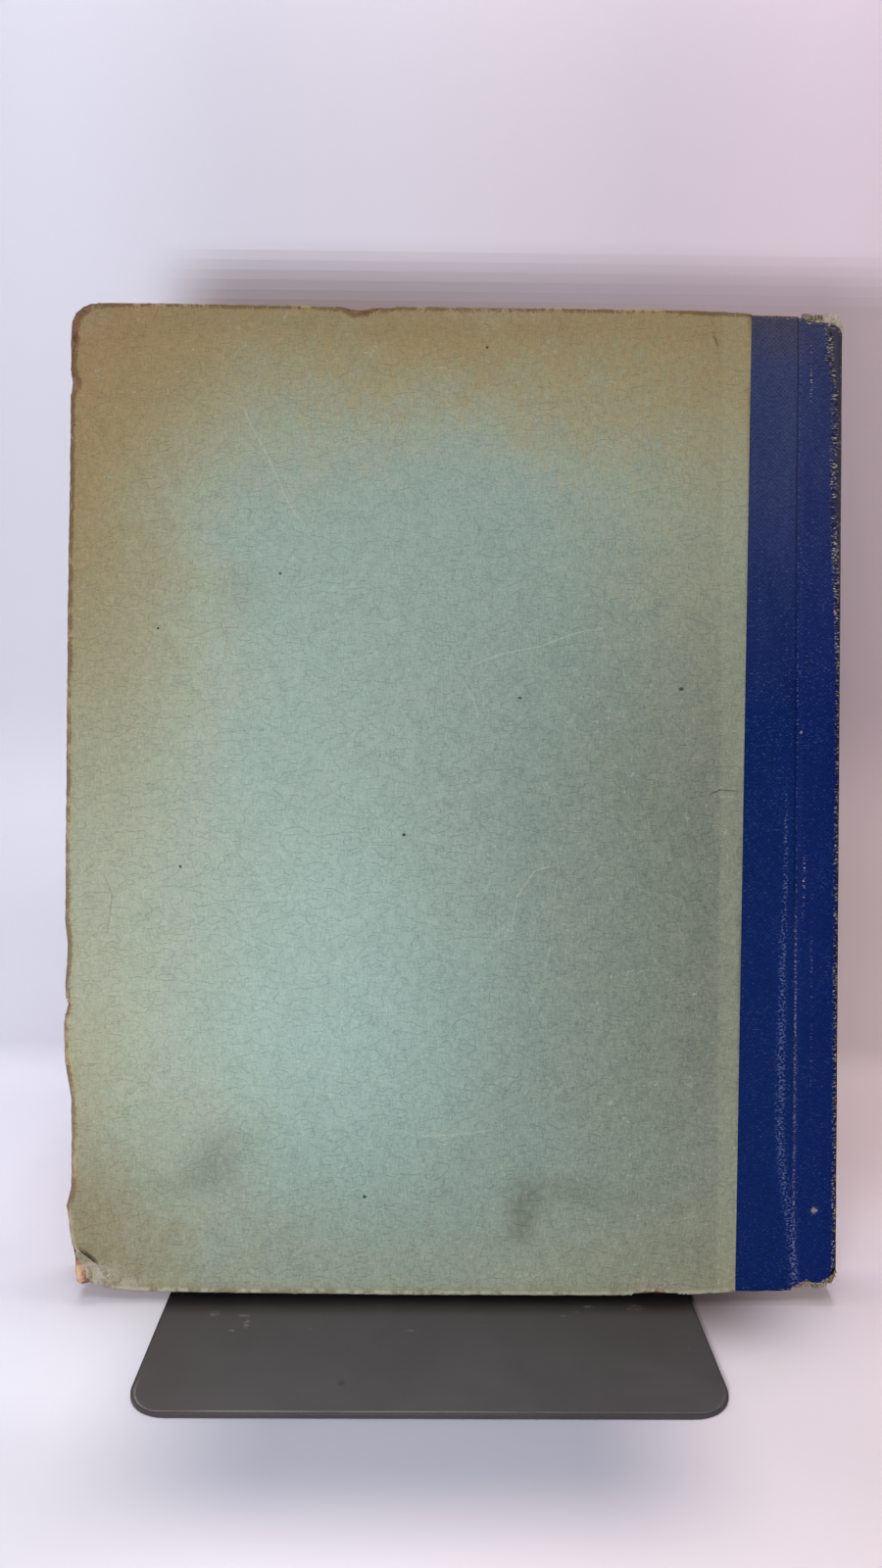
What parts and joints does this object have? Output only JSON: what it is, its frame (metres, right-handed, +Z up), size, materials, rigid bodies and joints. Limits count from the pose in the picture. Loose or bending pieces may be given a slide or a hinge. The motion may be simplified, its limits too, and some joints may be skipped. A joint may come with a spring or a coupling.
{
  "type": "hardback book on a book support",
  "caption": "Quarter-cloth hardback book that leans back on a folded steel book support; it lifts off, and its covers, flyleaves and leaves open.",
  "frame": {"origin": "middle of the bounding box's bottom face, on the floor under the book's middle", "axes": "+Z up, -Y towards the reader, +X towards the book's spine"},
  "size_m": [0.208, 0.0968, 0.2658],
  "materials": {
    "grey_paint": "satin",
    "strawboard": "matte",
    "cover_paper": "matte",
    "book_cloth": "matte",
    "gauze": "matte",
    "tape": "matte",
    "thread": "matte",
    "kraft_paper": "matte",
    "endpaper": "matte",
    "leaves": "matte"
  },
  "bodies": {
    "support": {"book_support": "grey_paint"},
    "front_cover": {"front_board": "strawboard", "front_paper": "cover_paper", "front_cloth": "book_cloth", "front_gauze": "gauze", "front_pastedown": "endpaper"},
    "text_block": {"section_01": "leaves", "section_02": "leaves", "section_03": "leaves", "section_04": "leaves", "section_05": "leaves", "section_06": "leaves", "section_07": "leaves", "section_08": "leaves", "section_09": "leaves", "section_10": "leaves", "sewing_tapes": "tape", "sewing_thread": "thread", "spine_gauze": "gauze", "spine_lining": "kraft_paper", "spine_inlay": "kraft_paper", "spine_cloth": "book_cloth"},
    "back_cover": {"back_board": "strawboard", "back_paper": "cover_paper", "back_cloth": "book_cloth", "back_gauze": "gauze", "back_pastedown": "endpaper"},
    "front_flyleaf": {"front_flyleaf": "endpaper"},
    "front_leaves": {"front_leaves": "leaves"},
    "back_flyleaf": {"back_flyleaf": "endpaper"},
    "back_leaves_outer": {"back_leaves_outer": "leaves"},
    "back_leaves_inner": {"back_leaves_inner": "leaves"}
  },
  "joints": [
    {"name": "book_lift", "type": "slide", "parent": "support", "child": "front_cover", "axis": [0, 0, 1], "range_m": [0, 0.15]},
    {"name": "front_joint", "type": "hinge", "parent": "front_cover", "child": "text_block", "pos_m": [0.092, 0.0342, 0.13242], "axis": [0, 0.1045, 0.9945], "range_deg": [0, 70]},
    {"name": "back_joint", "type": "hinge", "parent": "text_block", "child": "back_cover", "pos_m": [0.092, 0.01436, 0.13451], "axis": [0, 0.1045, 0.9945], "range_deg": [0, 110]},
    {"name": "front_flyleaf_turn", "type": "hinge", "parent": "text_block", "child": "front_flyleaf", "pos_m": [0.092, 0.0342, 0.13242], "axis": [0, 0.1045, 0.9945], "range_deg": [-42.01, 0]},
    {"name": "front_leaves_turn", "type": "hinge", "parent": "text_block", "child": "front_leaves", "pos_m": [0.092, 0.0342, 0.13242], "axis": [0, 0.1045, 0.9945], "range_deg": [-17.51, 0]},
    {"name": "back_flyleaf_turn", "type": "hinge", "parent": "text_block", "child": "back_flyleaf", "pos_m": [0.092, 0.01436, 0.13451], "axis": [0, 0.1045, 0.9945], "range_deg": [0, 66.01]},
    {"name": "back_leaves_outer_turn", "type": "hinge", "parent": "text_block", "child": "back_leaves_outer", "pos_m": [0.092, 0.01436, 0.13451], "axis": [0, 0.1045, 0.9945], "range_deg": [0, 37.41]},
    {"name": "back_leaves_inner_turn", "type": "hinge", "parent": "text_block", "child": "back_leaves_inner", "pos_m": [0.092, 0.01436, 0.13451], "axis": [0, 0.1045, 0.9945], "range_deg": [0, 15.41]}
  ],
  "couplings": [
    {"joint": "front_flyleaf_turn", "follows": "front_joint", "ratio": -0.6},
    {"joint": "front_leaves_turn", "follows": "front_joint", "ratio": -0.25},
    {"joint": "back_flyleaf_turn", "follows": "back_joint", "ratio": 0.6},
    {"joint": "back_leaves_outer_turn", "follows": "back_joint", "ratio": 0.34},
    {"joint": "back_leaves_inner_turn", "follows": "back_joint", "ratio": 0.14}
  ]
}
